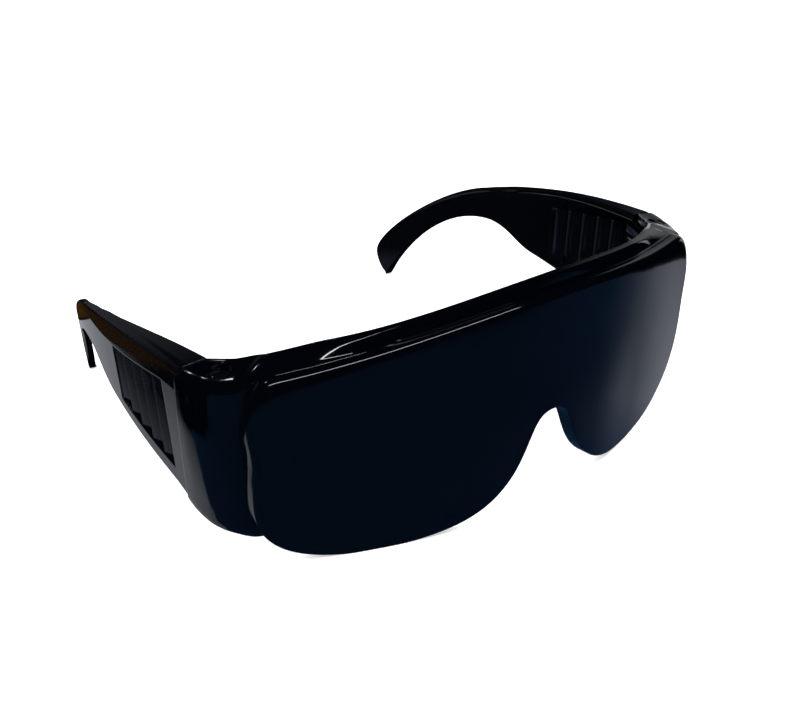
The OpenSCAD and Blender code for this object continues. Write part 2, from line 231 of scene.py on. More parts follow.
class Shell:
    """Collects closed skins in mm and makes one smooth object of them."""

    def __init__(self, form):
        self.form = form
        self.points = []
        self.faces = []
        self.count = 0

    def add(self, points, faces):
        """Adds a skin's points and its faces, which count from 0."""
        points = np.asarray(points, float).reshape(-1, 3)
        self.points.append(points)
        self.faces += [tuple(int(i) + self.count for i in f) for f in faces]
        self.count += len(points)

    def tube(self, rings, holes=(), caps=True):
        """A skin through rings of equal length, capped at both ends.

        holes gives a window through it, once for the outer face and once for the inner one: the
        first and last ring, and the first and last point of the rings.
        """
        rings = np.asarray(rings, float)
        n, m = rings.shape[:2]
        faces = []
        for i in range(n - 1):
            for j in range(m):
                k = (j + 1) % m
                if any(i0 <= i < i1 and j0 <= j < j1 for i0, i1, j0, j1 in holes):
                    continue
                faces.append((i * m + j, i * m + k, (i + 1) * m + k, (i + 1) * m + j))
        if holes:
            (i0, i1, a, b), (_, _, c, d) = holes
            for i in range(i0, i1):
                faces.append((i * m + a, (i + 1) * m + a, (i + 1) * m + d, i * m + d))
                faces.append((i * m + b, i * m + c, (i + 1) * m + c, (i + 1) * m + b))
            for j in range(b - a):
                o, q = a + j, d - j
                faces.append((i0 * m + o, i0 * m + q, i0 * m + q - 1, i0 * m + o + 1))
                faces.append((i1 * m + o, i1 * m + o + 1, i1 * m + q - 1, i1 * m + q))
        if caps:
            faces.append(tuple(range(m - 1, -1, -1)))
            faces.append(tuple((n - 1) * m + j for j in range(m)))
        self.add(rings, faces)

    def turned(self, profile, centre, n=48):
        """A closed skin of revolution about a vertical axis; profile is radius and height."""
        profile = np.array(profile, float)
        a = np.arange(n) * 2 * np.pi / n
        rings = np.stack([np.stack([centre[0] + r * np.cos(a), centre[1] + r * np.sin(a),
                                    np.full(n, z)], -1) for r, z in profile])
        self.tube(rings)

    def ring(self, outer, bore, low, high, centre, n=48, soft_edge=0.3):
        """A turned sleeve with a bore and rounded edges."""
        e = soft_edge
        q = e * (1 - math.cos(math.pi / 4))
        path = [(bore, low + e), (bore + q, low + q), (bore + e, low),
                (outer - e, low), (outer - q, low + q), (outer, low + e),
                (outer, high - e), (outer - q, high - q), (outer - e, high),
                (bore + e, high), (bore + q, high - q), (bore, high - e)]
        a = np.arange(n) * 2 * np.pi / n
        m = len(path)
        pts = np.array([[centre[0] + r * math.cos(t), centre[1] + r * math.sin(t), z]
                        for t in a for r, z in path])
        faces = []
        for i in range(n):
            o, p = i * m, (i + 1) % n * m
            faces += [(o + j, p + j, p + (j + 1) % m, o + (j + 1) % m) for j in range(m)]
        self.add(pts, faces)

    def slab(self, outline, low, high, edge=0.3):
        """A flat plate over a plan outline with rounded edges."""
        path = np.array(outline, float)
        if doubled_area(path) < 0:
            path = path[::-1]
        inward = left_of(path)
        rounding = [(1.0, 0.0), (0.3, 0.3), (0.0, 1.0)]
        levels = [(t, low + edge * z) for t, z in rounding]
        levels += [(t, high - edge * z) for t, z in rounding[::-1]]
        self.tube([np.column_stack([path + inward * edge * t, np.full(len(path), z)])
                   for t, z in levels])

    def made(self, name, side=1, weld=0.0):
        """The object, mirrored for the right side, standing as the part does."""
        p = np.vstack(self.points)
        p[:, 0] *= side
        p = self.form.seated(p)
        mesh = bpy.data.meshes.new(name)
        mesh.from_pydata(p.tolist(), [], self.faces)
        bm = bmesh.new()
        bm.from_mesh(mesh)
        if weld:
            bmesh.ops.remove_doubles(bm, verts=bm.verts, dist=weld * MM)
        bmesh.ops.dissolve_degenerate(bm, edges=bm.edges, dist=1e-7)
        bmesh.ops.recalc_face_normals(bm, faces=bm.faces)
        limit = math.radians(CREASE)
        for f in bm.faces:
            f.smooth = True
        for e in bm.edges:
            if len(e.link_faces) == 2:
                e.smooth = e.calc_face_angle(0) < limit
        bm.to_mesh(mesh)
        bm.free()
        obj = bpy.data.objects.new(name, mesh)
        bpy.context.scene.collection.objects.link(obj)
        return obj


# The front shield

def lens_face_y(f, x, z):
    """The lens face, which bulges a little ahead of its plan curve below the brow and at the sides."""
    v = np.clip((f.top_z(x) - z) / (f.top_z(x) + f.lens_drop), 0, 1)
    side = np.clip(np.abs(x) / f.lens_half, 0, 1) ** 4
    middle_bulge = f.bulge * 4 * v * (1 - v)
    low = f.low_fore * soft((v - 0.2) / 0.4) * (1 - soft((np.abs(x) - 16) / 22))
    side_bulge = f.side_fore * (1 - v) + f.side_bulge * np.sin(np.pi * v)
    return f.lens_y(x) - (1 - side) * (middle_bulge + low) - side * side_bulge


def lens_skin(f, shell):
    """The lens: a plate whose front edge is rounded, widely at the upper corners.

    Its skin runs from the middle of the face out to the edge, round it and back in behind.
    """
    tx = f.corner_x + 1.5
    xs = np.linspace(0, tx, 140)
    # The side edge runs from edge_top to edge_low, between the upper and the lower corner
    edge_top = np.array([f.lens_half - 0.6, -8.5])
    edge_low = np.array([f.lens_half - 1.3, -17])
    upper = np.vstack([np.column_stack([xs, f.top_z(xs)]),
                       curve([tx, f.top_z(tx)], [tx + 6.0, f.top_z(tx) - 1.2],
                             [f.lens_half - 0.1, -1.0], edge_top, first=False),
                       curve(edge_top, edge_top - [0.2, 2.8], edge_low + [0.12, 2.8], edge_low,
                             first=False)])
    nt, nh, nf, lx, ld = f.nose_top, f.nose_half, f.nose_flank, f.low_x, f.lens_drop
    lower = np.vstack([curve([0, -nt], [nh - 4.2, -nt], [nh - 4.3, -nf + 7.9], [nh, -nf], 40),
                       curve([nh, -nf], [nh + 6.7, -nf - 12.3], [lx - 14, -ld], [lx, -ld], 60, False),
                       curve([lx, -ld], [lx + 30.5, -ld], edge_low - [0.45, 11], edge_low, 60, False)])
    n = 170
    t = np.linspace(0, 1, n + 1)
    up = along(upper, t * lengths(upper)[-1])
    # The lower edge's points lie closer together round the nose notch
    low = along(lower, t ** 1.35 * lengths(lower)[-1])
    flip = np.array([-1, 1])
    up_full = np.vstack([up[:0:-1] * flip, up])
    low_full = np.vstack([low[:0:-1] * flip, low])
    loop = np.vstack([up_full, low_full[-2:0:-1]])
    inward = -left_of(loop)
    # The rows of the face and of the back end on a core line between the two edges
    mid = (up_full + low_full) / 2
    mid[:, 0] *= 0.86
    core = np.vstack([mid, mid[-2:0:-1]])
    # Width and depth of the rounded edge along the upper half, by distance from the middle
    s = t * lengths(upper)[-1]
    end = s[-1]
    knots = [0, 44, 60, 71, 77, 82, end]
    width = np.interp(s, knots, [1.5, 1.8, 3.0, 5.2, 2.6, 0.5, 0.35])
    depth = np.interp(s, knots, [1.4, 1.5, 1.8, 2.2, 1.3, 0.4, 0.35])
    reach = 6
    even = np.ones(2 * reach + 1) / (2 * reach + 1)
    width = np.convolve(np.pad(width, reach, mode="edge"), even, "valid")
    depth = np.convolve(np.pad(depth, reach, mode="edge"), even, "valid")
    edge = 0.35
    width = np.concatenate([width[:0:-1], width, np.full(2 * n - 1, edge)])[:, None]
    depth = np.concatenate([depth[:0:-1], depth, np.full(2 * n - 1, edge)])[:, None]

    def put(xz, d):
        """Points d behind the face, square to the lens's plan curve."""
        x, z = xz[:, 0], xz[:, 1]
        slope = (f.lens_y(x + 0.01) - f.lens_y(x - 0.01)) / 0.02
        k = np.sqrt(1 + slope ** 2)
        y = lens_face_y(f, x, z)
        moved = x - d * slope / k
        near_top = soft((z - f.top_z(x) + 6) / 6)
        out = soft((np.abs(x) - LENS_SIDE) / 4) * soft((-z - 3) / 9) * np.clip(d / 4, 0, 1)
        spread = moved + np.sign(x) * f.side_flare * out
        return np.column_stack([spread, y + d / k, z + near_top * (f.top_z(moved) - f.top_z(x))])

    def full(xz):
        """The lens's thickness, which takes up the bulge of its face."""
        x, z = xz[:, 0], xz[:, 1]
        return f.lens_t + f.lens_y(x) - lens_face_y(f, x, z)

    rows = []
    zero = np.zeros(len(loop))
    start = loop + inward * width
    for a in np.linspace(1, 0, 27)[:-1] ** 1.3:
        p = start + (core - start) * a
        rows.append(put(p, zero))
    rows[0] = put(core, zero)
    for a in np.linspace(0, QUARTER, 9):
        p = loop + inward * width * (1 - math.sin(a))
        rows.append(put(p, depth[:, 0] * (1 - math.cos(a))))
    # The edge is thicker where the ledge covers it and where the wing stands back from it
    back_r = 0.4
    covered = soft((f.corner_x - 4 - np.abs(loop[:, 0])) / 6)
    covered[2 * n + 1:] = 0
    rim = soft((np.abs(loop[:, 0]) - LENS_SIDE) / 3) * recess(loop[:, 1])
    thick = full(loop) + covered + (f.side_recess + 0.2) * rim
    sink = 0.06
    for a in (0.35, 0.7, 1.0):
        p = loop + inward * sink * a
        rows.append(put(p, depth[:, 0] + (thick - back_r - depth[:, 0]) * a))
    for a in steps(QUARTER, 5):
        p = loop + inward * (sink + back_r * (1 - math.cos(a)))
        rows.append(put(p, thick - back_r * (1 - math.sin(a))))
    inner = loop + inward * (sink + back_r)
    for a in steps(1, 14):
        p = inner + (core - inner) * a
        rows.append(put(p, full(p)))
    shell.tube(rows, caps=False)


def wing_path(f):
    """Plan of the brow and wing behind the lens face, from the middle to the seam."""
    x = np.linspace(0, f.lens_half, 240)
    p = np.column_stack([x, f.lens_y(x)])
    run = np.gradient(p, axis=0)
    run /= np.linalg.norm(run, axis=1)[:, None]
    inner = p + f.wing_step * np.stack([-run[:, 1], run[:, 0]], 1)
    edge = run[-1]
    bend = curve(inner[-1], inner[-1] + 2.5 * edge, [f.half_w, -f.wing_bend],
                 [f.half_w, -f.wing_bend / 5], 60, False)
    return np.vstack([inner, bend, [[f.half_w, 0]]])


def seam_slant(f, z):
    """How far behind its place at the top the seam stands at height z."""
    return f.seam_back * (1 - (1 + np.clip(z, -SEAM_FOOT, 0) / SEAM_FOOT) ** 2)


def recess(z):
    """How fully the wing stands back from the lens's side edge at height z."""
    return soft((-2.5 - z) / 8) * (1 - soft((-10 - z) / 32))


def wing_section(f, q, e, w, xr, low_z=None):
    """Closed section of the brow ledge at q, w deep along e to its rear edge at xr.

    Where low_z is given, the wing's wall reaches down to it.
    """
    winged = low_z is not None
    wall = f.wing_t if winged else 0.6
    k = soft((q[0] - 60) / 8)
    round_w, round_h = (0.5 + 3.9 * k, 0.5 + 2.4 * k) if winged else (0.5, 0.5)
    rim_r, low_r, r_in = 0.45, 0.4, 0.8
    # Towards the wings the lip turns into a gentle rise of the whole ledge
    spread = float(soft((xr - 34) / 26))
    lip = float(f.lip_z(xr))
    rise, lip = lip * spread, lip * (1 - spread)

    def top(t):
        """Level of the ledge at t behind the front face."""
        return float(f.top_z(q[0] + e[0] * t) + rise * t / w)

    # Up the front face and over its rounded top
    lowest = low_z if winged else top(0) - f.ledge_t - 1.2
    sec = [(0.0, z) for z in clustered(lowest + low_r, top(round_w) - round_h, 18, 0.3)]
    for a in steps(QUARTER, 9):
        t = round_w * (1 - math.cos(a))
        fall = top(t) - top(round_w)
        sec.append((t, top(round_w) - round_h * (1 - math.sin(a)) + fall * (a / QUARTER)))
    # Back over the ledge, up the lip and round its rim
    foot = min(0.45 + 4.45 * spread, w - f.lip_t - round_w - 0.3)
    lead = w - f.lip_t - foot - round_w
    for a in steps(1, 14):
        t = round_w + lead * a
        sec.append((t, top(t)))
    lip_at = round_w + lead
    rest = w - lip_at
    climb = max((rest - 1.4) * 0.5, rest - f.lip_t)
    for a in steps(1, 8):
        t = lip_at + climb * a
        sec.append((t, top(t) + lip * (1 - (1 - a) ** 1.8)))
    crest_at = lip_at + climb
    for a in (0.5, 1.0):
        t = crest_at + (w - rim_r - crest_at) * a
        sec.append((t, top(t) + lip))
    crest = top(w) + lip
    for a in steps(QUARTER, 5):
        sec.append((w - rim_r + rim_r * math.sin(a), crest - rim_r * (1 - math.cos(a))))
    # Forward under the ledge, down inside the wall and round its lower edge
    under = top(w) - f.ledge_t
    for a in np.linspace(0, QUARTER, 5):
        sec.append((w - low_r + low_r * math.cos(a), under + low_r * (1 - math.sin(a))))
    for a in steps(1, 10):
        t = w - low_r + (wall + r_in - w + low_r) * a
        sec.append((t, top(t) - f.ledge_t))
    corner = top(wall + r_in) - f.ledge_t
    for a in steps(QUARTER, 5):
        sec.append((wall + r_in * (1 - math.sin(a)), corner - r_in * (1 - math.cos(a))))
    for z in clustered(corner - r_in, lowest + low_r, 10, 0.3)[1:]:
        sec.append((wall, z))
    half = wall / 2
    for a in np.linspace(0, np.pi, 9)[1:-1]:
        sec.append((half + half * math.cos(a), lowest + low_r - low_r * math.sin(a)))
    return np.array(sec)


def wing_skin(f, shell):
    """The brow ledge with its lip, and the two wings that it runs out into."""
    path = wing_path(f)
    total = lengths(path)[-1]
    s_of = np.linspace(0, total, 4000)
    x_of = np.interp(s_of, lengths(path), path[:, 0])
    wing_x, blend_x, end_r = 63.2, 50, 0.5
    s_start = float(np.interp(wing_x, x_of, s_of))
    back_x = float(np.interp(blend_x, x_of, s_of))
    s_list = np.concatenate([np.linspace(0, s_start - 0.02, 84),
                             np.linspace(s_start, total - end_r, 60),
                             total - end_r + end_r * np.array([0.35, 0.65, 0.85, 0.96, 1.0])])
    # Lower edge of the wing, as distance from the seam and level
    side_low = np.vstack([curve([0, -36.5], [-0.6, -37.7], [-6, -39.1], [-10.5, -39.5], 30),
                          [[-20, -39.3]]])
    rings = []
    for s in s_list:
        q = along(path, np.array([s]))[0]
        xr = q[0]
        if s >= back_x:
            xr = blend_x + (f.rear_end - blend_x) * (s - back_x) / (total - back_x)
        r = np.array([xr, float(f.rear_y(xr))])
        # At the seam the rear edge stays level with the outer face
        if s > total - 0.6:
            r[1] = max(r[1], q[1])
        e = r - q
        w = float(np.linalg.norm(e))
        e /= w
        low_z = None
        if s >= s_start:
            low_z = float(np.interp(-q[1], -side_low[:, 0], side_low[:, 1]))
        sec = wing_section(f, q, e, w, xr, low_z)
        gone = total - s
        if gone < end_r:
            sec = shrunk(sec, draw_in(end_r, gone))
        p = np.column_stack([q[0] + e[0] * sec[:, 0], q[1] + e[1] * sec[:, 0], sec[:, 1]])
        # The lean, the recess beside the lens, the drawn-in top and the seam's slant
        p[:, 0] += math.sin(f.lean) * np.minimum(0, p[:, 2]) * float(soft((q[0] - 62) / 3))
        lap = 1 - float(soft((q[0] - 70.5) / 6.5))
        p[:, 1] -= lap * f.wing_fore * soft((-9 - p[:, 2]) / 30)
        p[:, 1] += lap * (1 - float(soft((67 - q[0]) / 2))) * f.side_recess * recess(p[:, 2])
        draw = f.wing_draw * soft((p[:, 2] + 13) / 6)
        p[:, 0] -= draw * min(1.0, gone / 6.0) * float(soft((q[0] - 70) / 4))
        p[:, 1] += float(np.clip(1 + q[1] / 7, 0, 1)) * seam_slant(f, p[:, 2])
        rings.append(p)
    rings = np.array(rings)
    other = rings[:0:-1].copy()
    other[..., 0] *= -1
    shell.tube(np.vstack([other, rings]))


def hinge_seats(f, shell):
    """Boss under each wing's top and ear inside its wall, for the pins."""
    path = wing_path(f)
    run = lengths(path)
    # The ear's outer side runs inside the wing's wall
    rows = along(path, np.linspace(np.interp(66.5, path[:250, 0], run[:250]), run[-1] - 4.3, 30))
    for side in SIDES.values():
        c = (side * f.pin_x, f.pin_y)
        shell.ring(f.knuckle_r, f.pin_r + 0.03, f.boss_z, f.boss_z + 1.6, c, soft_edge=0.25)
        x = rows[:, 0] - 0.8 + math.sin(f.lean) * f.ear_low
        inner = f.pin_x - f.knuckle_r
        outline = np.vstack([np.column_stack([x, rows[:, 1] + 0.7]),
                             [[inner, f.pin_y + f.knuckle_r], [inner, rows[0, 1] + 2.0]]])
        outline[:, 0] *= side
        shell.slab(outline, f.ear_low, f.ear_low + f.ear_t, 0.25)


def cut_away(obj, cutter):
    """Takes the cutter's space out of obj and removes the cutter."""
    m = obj.modifiers.new("cut", "BOOLEAN")
    m.operation, m.solver, m.object = "DIFFERENCE", "EXACT", cutter
    dg = bpy.context.evaluated_depsgraph_get()
    mesh = bpy.data.meshes.new_from_object(obj.evaluated_get(dg))
    obj.modifiers.clear()
    obj.data = mesh
    bpy.data.objects.remove(cutter)


# The temples

def side_view(f):
    """Upper and lower edges of a temple in side view, as y and z."""
    tip = np.array([f.tip_y, -f.tip_depth])
    waist = np.array([65.1, -f.waist_depth])
    start, bend, rear = [SEAM_GAP, 0.7], [68, -12.9], [f.hook_back, -f.hook_depth]
    top = np.vstack([[start], curve(start, [22, -0.9], [45, -4.6], bend, 60, False),
                     curve(bend, [89, -19.2], [f.hook_back, -f.hook_depth + 7.5], rear, 60, False),
                     curve(rear, [f.hook_back, -f.hook_depth - 3.5], tip + [1.8, 1.6], tip + [0.3, 0.3],
                           16, False)])
    low = np.vstack([[[SEAM_GAP, -f.panel_front]], [[f.panel_l, -f.panel_rear]],
                     curve([f.panel_l, -f.panel_rear], [f.panel_l + 8.6, -f.panel_rear + 0.8],
                           waist - [8.6, 0.7], waist, 40, False),
                     curve(waist, waist + [18.4, 0], tip + [-8.6, 17.5], tip - [1, 0], 60, False)])
    return top, low


def temple_section(f, y, size, head, sill, near):
    """Closed section of a temple at y, size deep, as distance inwards and depth below its top edge.

    head and sill are the depths of the window's edges, and near the steps of the points beside them.
    Returns the section, the places of the window's edges in it and where its inner face starts.
    """
    thick = f.temple_t
    scale = min(1.0, size / 24)
    taper = min(1.0, size / 12)
    rear = float(soft((y - 40) / 50))
    flange_x = max(thick + 0.03, f.flange_w - (f.flange_w - thick) * y / f.flange_l)
    over = flange_x - thick
    low_r = 0.9 * taper
    round_w, round_h = (1.9 - 1.1 * rear) * taper ** 0.5, (1.9 - 1.0 * rear) * taper
    round_h = min(round_h, size * 0.3)
    # The wall leans in above a crisp knee along the window's top line
    knee = max(round_h + 0.1 * taper, (1 - 0.35 * rear) * min(head - 0.45, size * 0.42))
    lean_in = (knee - round_h) * f.shoulder
    round_w = min(round_w, max(0.3, thick * 0.85 + over - lean_in))
    lows = np.concatenate([np.linspace(size - low_r, sill + 0.6 * scale, 6),
                           sill + scale * near[3::-1]])
    mids = np.linspace(sill, head, 13)[1:-1]
    highs = np.concatenate([head - scale * near[:4],
                            [knee + 0.05 * taper, knee, knee - 0.05 * taper],
                            np.linspace(knee - 0.05 * taper, round_h, 5)[1:]])
    wall = np.concatenate([lows, mids, highs])
    a, b = len(lows) - 1, len(lows) + len(mids)
    # Up the outer face, over the rounded top edge and along the flange
    sec = [(max(0.0, knee - v - 0.03) * f.shoulder, v) for v in wall]
    start = sec[-1][0]
    for q in steps(QUARTER, 8):
        across = start + round_h * f.shoulder * math.sin(q) + round_w * (1 - math.cos(q))
        sec.append((across, round_h * (1 - math.sin(q))))
    edge_r = min(0.4, thick * 0.4)
    crest = sec[-1][0]
    for v in np.linspace(crest, max(crest + 0.1, flange_x - edge_r), 7)[1:]:
        sec.append((v, 0.0))
    flange_x = max(flange_x, crest + 0.1 + edge_r)
    for q in steps(QUARTER, 4):
        sec.append((flange_x - edge_r + edge_r * math.sin(q), edge_r * (1 - math.cos(q))))
    # Back under the flange, down the inner face and round the lower edge
    thin = min(f.flange_t, size * 0.45)
    round_in = min(edge_r, over * 0.5)
    sec.append((flange_x, thin - edge_r))
    for q in steps(QUARTER, 3):
        sec.append((flange_x - round_in * (1 - math.cos(q)), thin - edge_r + edge_r * math.sin(q)))
    under_r = min(0.8, over * 0.5)
    for v in np.linspace(flange_x - round_in, thick + under_r, 5)[1:]:
        sec.append((v, thin))
    for q in steps(QUARTER, 4):
        sec.append((thick + under_r * (1 - math.sin(q)), thin + under_r * (1 - math.cos(q))))
    back = len(sec)
    inner = np.maximum(wall[::-1], thin + under_r + 0.01 * np.arange(len(wall)))
    sec += [(thick, v) for v in inner]
    inner_a, inner_b = (back + (len(wall) - 1 - j) for j in (a, b))
    for q in np.linspace(0, np.pi, 9)[1:-1]:
        sec.append((thick / 2 + thick / 2 * math.cos(q), size - low_r + low_r * math.sin(q)))
    return np.array(sec), (a, b, inner_b, inner_a), back


def round_rims(f, sec, back, start, d, window):
    """Rounds the window's edges in a section, which runs from start along d and inside from back on."""
    v0, v1 = f.vent_front, f.vent_front + f.vent_length
    rim = 0.3
    for j in range(len(sec)):
        y, z = start + d * sec[j, 1]
        high, down = window(y)
        gap = max(v0 - y, y - v1, z - high, down - z)
        if 0 <= gap + 1e-9 < rim:
            dist = math.hypot(max(v0 - y, y - v1, 0), max(z - high, down - z, 0))
            if dist < rim:
                pull = draw_in(rim, dist)
                if sec[j, 0] == 0.0:
                    sec[j, 0] = pull
                elif sec[j, 0] == f.temple_t and j >= back:
                    sec[j, 0] = f.temple_t - pull


def temple_skin(f, shell):
    """The side shield, the inward top flange, the arm and the hook; returns the window's levels."""
    top, low = side_view(f)
    v0, v1 = f.vent_front, f.vent_front + f.vent_length
    near = np.array([0.0, 0.06, 0.15, 0.3, 0.55])
    end_r = 0.4
    ys = np.concatenate([SEAM_GAP + np.array([0, 0.03, 0.1, 0.22, end_r]),
                         np.linspace(1.4, v0 - 1, 10), (v0 - near)[::-1],
                         np.linspace(v0, v1, 41)[1:-1], v1 + near, [v1 + 1.2, f.panel_l]])
    # Pairs of points on the upper and lower edges: upright along the panel, then by running length
    fore = top[:90]
    pairs = []
    for y in ys:
        pairs.append((np.array([y, np.interp(y, fore[:, 0], fore[:, 1])]),
                      np.array([y, np.interp(y, low[:2, 0], low[:2, 1])])))
    run_t, run_l = lengths(top), lengths(low)
    st = float(np.interp(f.panel_l, fore[:, 0], run_t[:90]))
    sl = float(run_l[1])
    for k in steps(1, 96):
        pairs.append((along(top, np.array([st + (run_t[-1] - st) * k]))[0],
                      along(low, np.array([sl + (run_l[-1] - sl) * k]))[0]))

    def window(y):
        """Levels of the window's top and bottom at y."""
        y = min(max(y, v0), v1)
        k = (y - v0) / (v1 - v0)
        edge = [np.interp(v, fore[:, 0], fore[:, 1]) for v in (v0, v1)]
        ahead, behind = edge[0] - f.vent_top, edge[1] - f.vent_top - 0.6
        high = (1 - k) * ahead + k * behind
        down = (1 - k) * (ahead - f.vent_high_front) + k * (behind - f.vent_high_rear)
        return high, down

    rings = []
    for i, (a_t, a_b) in enumerate(pairs):
        d = a_b - a_t
        size = float(np.linalg.norm(d))
        d /= size
        yc = min(max(a_t[0], v0), v1)
        zt = float(np.interp(yc, fore[:, 0], fore[:, 1]))
        zl = float(np.interp(yc, low[:2, 0], low[:2, 1]))
        head, sill = ((zt - level) / (zt - zl) * size for level in window(a_t[0]))
        sec, (a, b, inner_b, inner_a), back = temple_section(f, a_t[0], size, head, sill, near)
        if i < len(ys):
            round_rims(f, sec, back, a_t, d, window)
        # The front end and the hook's tip are rounded
        if i < 5:
            sec = shrunk(sec, draw_in(end_r, ys[i] - SEAM_GAP))
        last = len(pairs) - 1 - i
        if last < 3:
            sec = shrunk(sec, (0.5, 0.25, 0.08)[last])
        yz = a_t[None, :] + d[None, :] * sec[:, 1:2]
        yz[:, 0] += max(0.0, 1 - a_t[0] / 8.5) * seam_slant(f, yz[:, 1])
        ang = np.arcsin(np.clip(np.maximum(0, yz[:, 0] - BOW_START) / f.bow_r, 0, 1))
        rad = f.bow_r - sec[:, 0]
        x = f.face_x - f.bow_r + rad * np.cos(ang)
        y = np.where(yz[:, 0] > BOW_START, BOW_START + rad * np.sin(ang), yz[:, 0])
        rings.append(f.leaned(np.column_stack([x, y, yz[:, 1]]), f.face_x))
    i0 = int(np.argmin(np.abs(ys - v0)))
    i1 = int(np.argmin(np.abs(ys - v1)))
    shell.tube(rings, holes=[(i0, i1, a, b), (i0, i1, inner_b, inner_a)])
    return window


def blades(f, shell, window):
    """The louvre blades that stand in the window, each turned a little out of the wall."""
    pitch = f.vent_length / f.blade_count
    turn = math.radians(15)
    lap, crown_h, inset, sunk = 1.4, 0.3, 0.3, 0.5
    wide = pitch * math.cos(turn) + lap
    thick, r = 1.0, 0.26
    path = []
    for cx, cy, a0 in ((-r, -r, 0), (-thick + r, -r, 90),
                       (-thick + r, -wide + r, 180), (-r, -wide + r, 270)):
        for q in np.radians(np.linspace(a0, a0 + 90, 6)):
            path.append((cx + r * math.cos(q), cy + r * math.sin(q)))
    path = np.array(path)
    crown = np.column_stack([-thick - crown_h * np.sin(np.linspace(0, np.pi, 9)),
                             np.linspace(-r, -wide + r, 9)])[1:-1]
    path = np.vstack([path[:12], crown, path[12:]])
    c, s = math.cos(-turn), math.sin(-turn)
    blade = np.column_stack([path[:, 0] * c - path[:, 1] * s, path[:, 0] * s + path[:, 1] * c])
    for i in range(f.blade_count):
        plan = blade + [f.face_x - inset, f.vent_front + pitch * (i + 1)]
        rings = []
        for k in np.linspace(0, 1, 9):
            ring = []
            for x, y in plan:
                high, down = window(y)
                z = down - sunk + (high - down + 2 * sunk) * k
                bow = f.face_x - f.bow_x(y)
                ring.append((x - bow, y, z))
            rings.append(ring)
        shell.tube(f.leaned(np.array(rings), f.face_x))


def knuckles(f, shell):
    """The two bored cylinders around the pin's axis, with their webs to the wall.

    A web leaves its knuckle aslant, passes inside the wing's wall and runs on into the temple's,
    behind the slanted seam.
    """
    reach = f.face_x - f.temple_t + 0.6
    clear = f.half_w - f.wing_t - 36.2 * math.sin(f.lean) - 0.4
    pin = np.array([f.pin_x, f.pin_y])
    slant = math.radians(-34)
    half = 2.4
    across = np.array([math.cos(slant), math.sin(slant)])
    ahead = np.array([-across[1], across[0]])
    base = pin + 1.95 * ahead
    for low in (f.upper_knuckle_top - f.knuckle_h, f.lower_knuckle_low):
        shell.ring(f.knuckle_r, f.pin_r + 0.05, low, low + f.knuckle_h, pin, soft_edge=0.3)
        behind = float(seam_slant(f, low))
        outline = [base - half * across, base + half * across, [clear, -0.4], [clear, 0.4 + behind],
                   [reach, 0.8 + behind], [reach, 5.0 + behind], [reach - f.temple_t, 5.0 + behind]]
        shell.slab(outline, low + 0.02, low + f.knuckle_h - 0.02, 0.25)


def pin_profile(f, upper):
    """Radius and height of a pin, with a softly domed head."""
    r, h = f.pin_r, f.head_r
    bite, bevel = 5.6, 0.3
    if upper:
        base, end = f.upper_head_z, f.upper_knuckle_top - bite
        shaft = [(AXIS, end), (r - bevel, end), (r, end + bevel), (r, base)]
        head = [(h - 0.1, 0), (h, 0.12), (h, 0.8), (h - 0.1, 0.98), (h - 0.35, 1.12),
                (h * 0.6, 1.3), (h * 0.3, 1.41), (h * 0.12, 1.44), (AXIS, 1.45)]
        return shaft + [(q, base + z) for q, z in head]
    base, end = f.ear_low, f.lower_knuckle_low + bite
    head = [(AXIS, 0.02), (h * 0.6, 0.05), (h - 0.3, 0.1), (h - 0.08, 0.28), (h, 0.5), (h, 0.8),
            (h - 0.1, 0.9), (r, 0.9)]
    return [(q, base + z) for q, z in head] + [(r, end - bevel), (r - bevel, end), (AXIS, end)]


def dimple_profile(f):
    """Radius and height of the space over an upper pin's head, which widens at the wing's top."""
    low, top, r = f.upper_head_z - 0.02, 1.0, f.head_r + 0.05
    return [(AXIS, low), (r, low), (r, top - 0.55), (r + 0.03, top - 0.35), (r + 0.2, top + 0.1),
            (r + 0.2, top + 3), (AXIS, top + 3)]


# Shader building

class Wire:
    """A node's output, usable in Python sums, which add Math nodes."""

    def __init__(self, desk, socket):
        self.desk, self.socket = desk, socket

    def maths(self, operation, a, b):
        """The result of a Math node."""
        return self.desk.node("ShaderNodeMath", {"operation": operation}, {0: a, 1: b})

    def __add__(self, other):
        return self.maths("ADD", self, other)

    def __radd__(self, other):
        return self.maths("ADD", other, self)

    def __rsub__(self, other):
        return self.maths("SUBTRACT", other, self)

    def __mul__(self, other):
        return self.maths("MULTIPLY", self, other)

    def __pow__(self, other):
        return self.maths("POWER", self, other)

    def __gt__(self, other):
        return self.maths("GREATER_THAN", self, other)

    def __lt__(self, other):
        return self.maths("LESS_THAN", self, other)


class Desk:
    """Builds one node tree."""

    def __init__(self, tree):
        self.tree = tree
        tree.nodes.clear()

    def node(self, kind, settings=None, sockets=None, out=0):
        """Adds a node with its settings and its sockets' values or wires, and returns an output.

        A colour ramp's places and colours are given as the setting named stops.
        """
        n = self.tree.nodes.new(kind)
        for key, value in (settings or {}).items():
            if key == "stops":
                ramp = n.color_ramp
                while len(ramp.elements) < len(value):
                    ramp.elements.new(0.5)
                for e, (at, colour) in zip(ramp.elements, value):
                    e.position = at
                    e.color = (*colour, 1)
            else:
                setattr(n, key, value)
        for key, value in (sockets or {}).items():
            if isinstance(value, Wire):
                self.tree.links.new(value.socket, n.inputs[key])
            elif value is not None:
                n.inputs[key].default_value = value
        self.last = n
        return Wire(self, n.outputs[out]) if len(n.outputs) else None

    def mix(self, factor, a, b):
        """A colour between a and b."""
        return self.node("ShaderNodeMix", {"data_type": "RGBA"}, {0: factor, 6: a, 7: b}, out=2)


def new_material(name):
    """A new material and the desk of its nodes."""
    mat = bpy.data.materials.new(name)
    mat.use_nodes = True
    return mat, Desk(mat.node_tree)


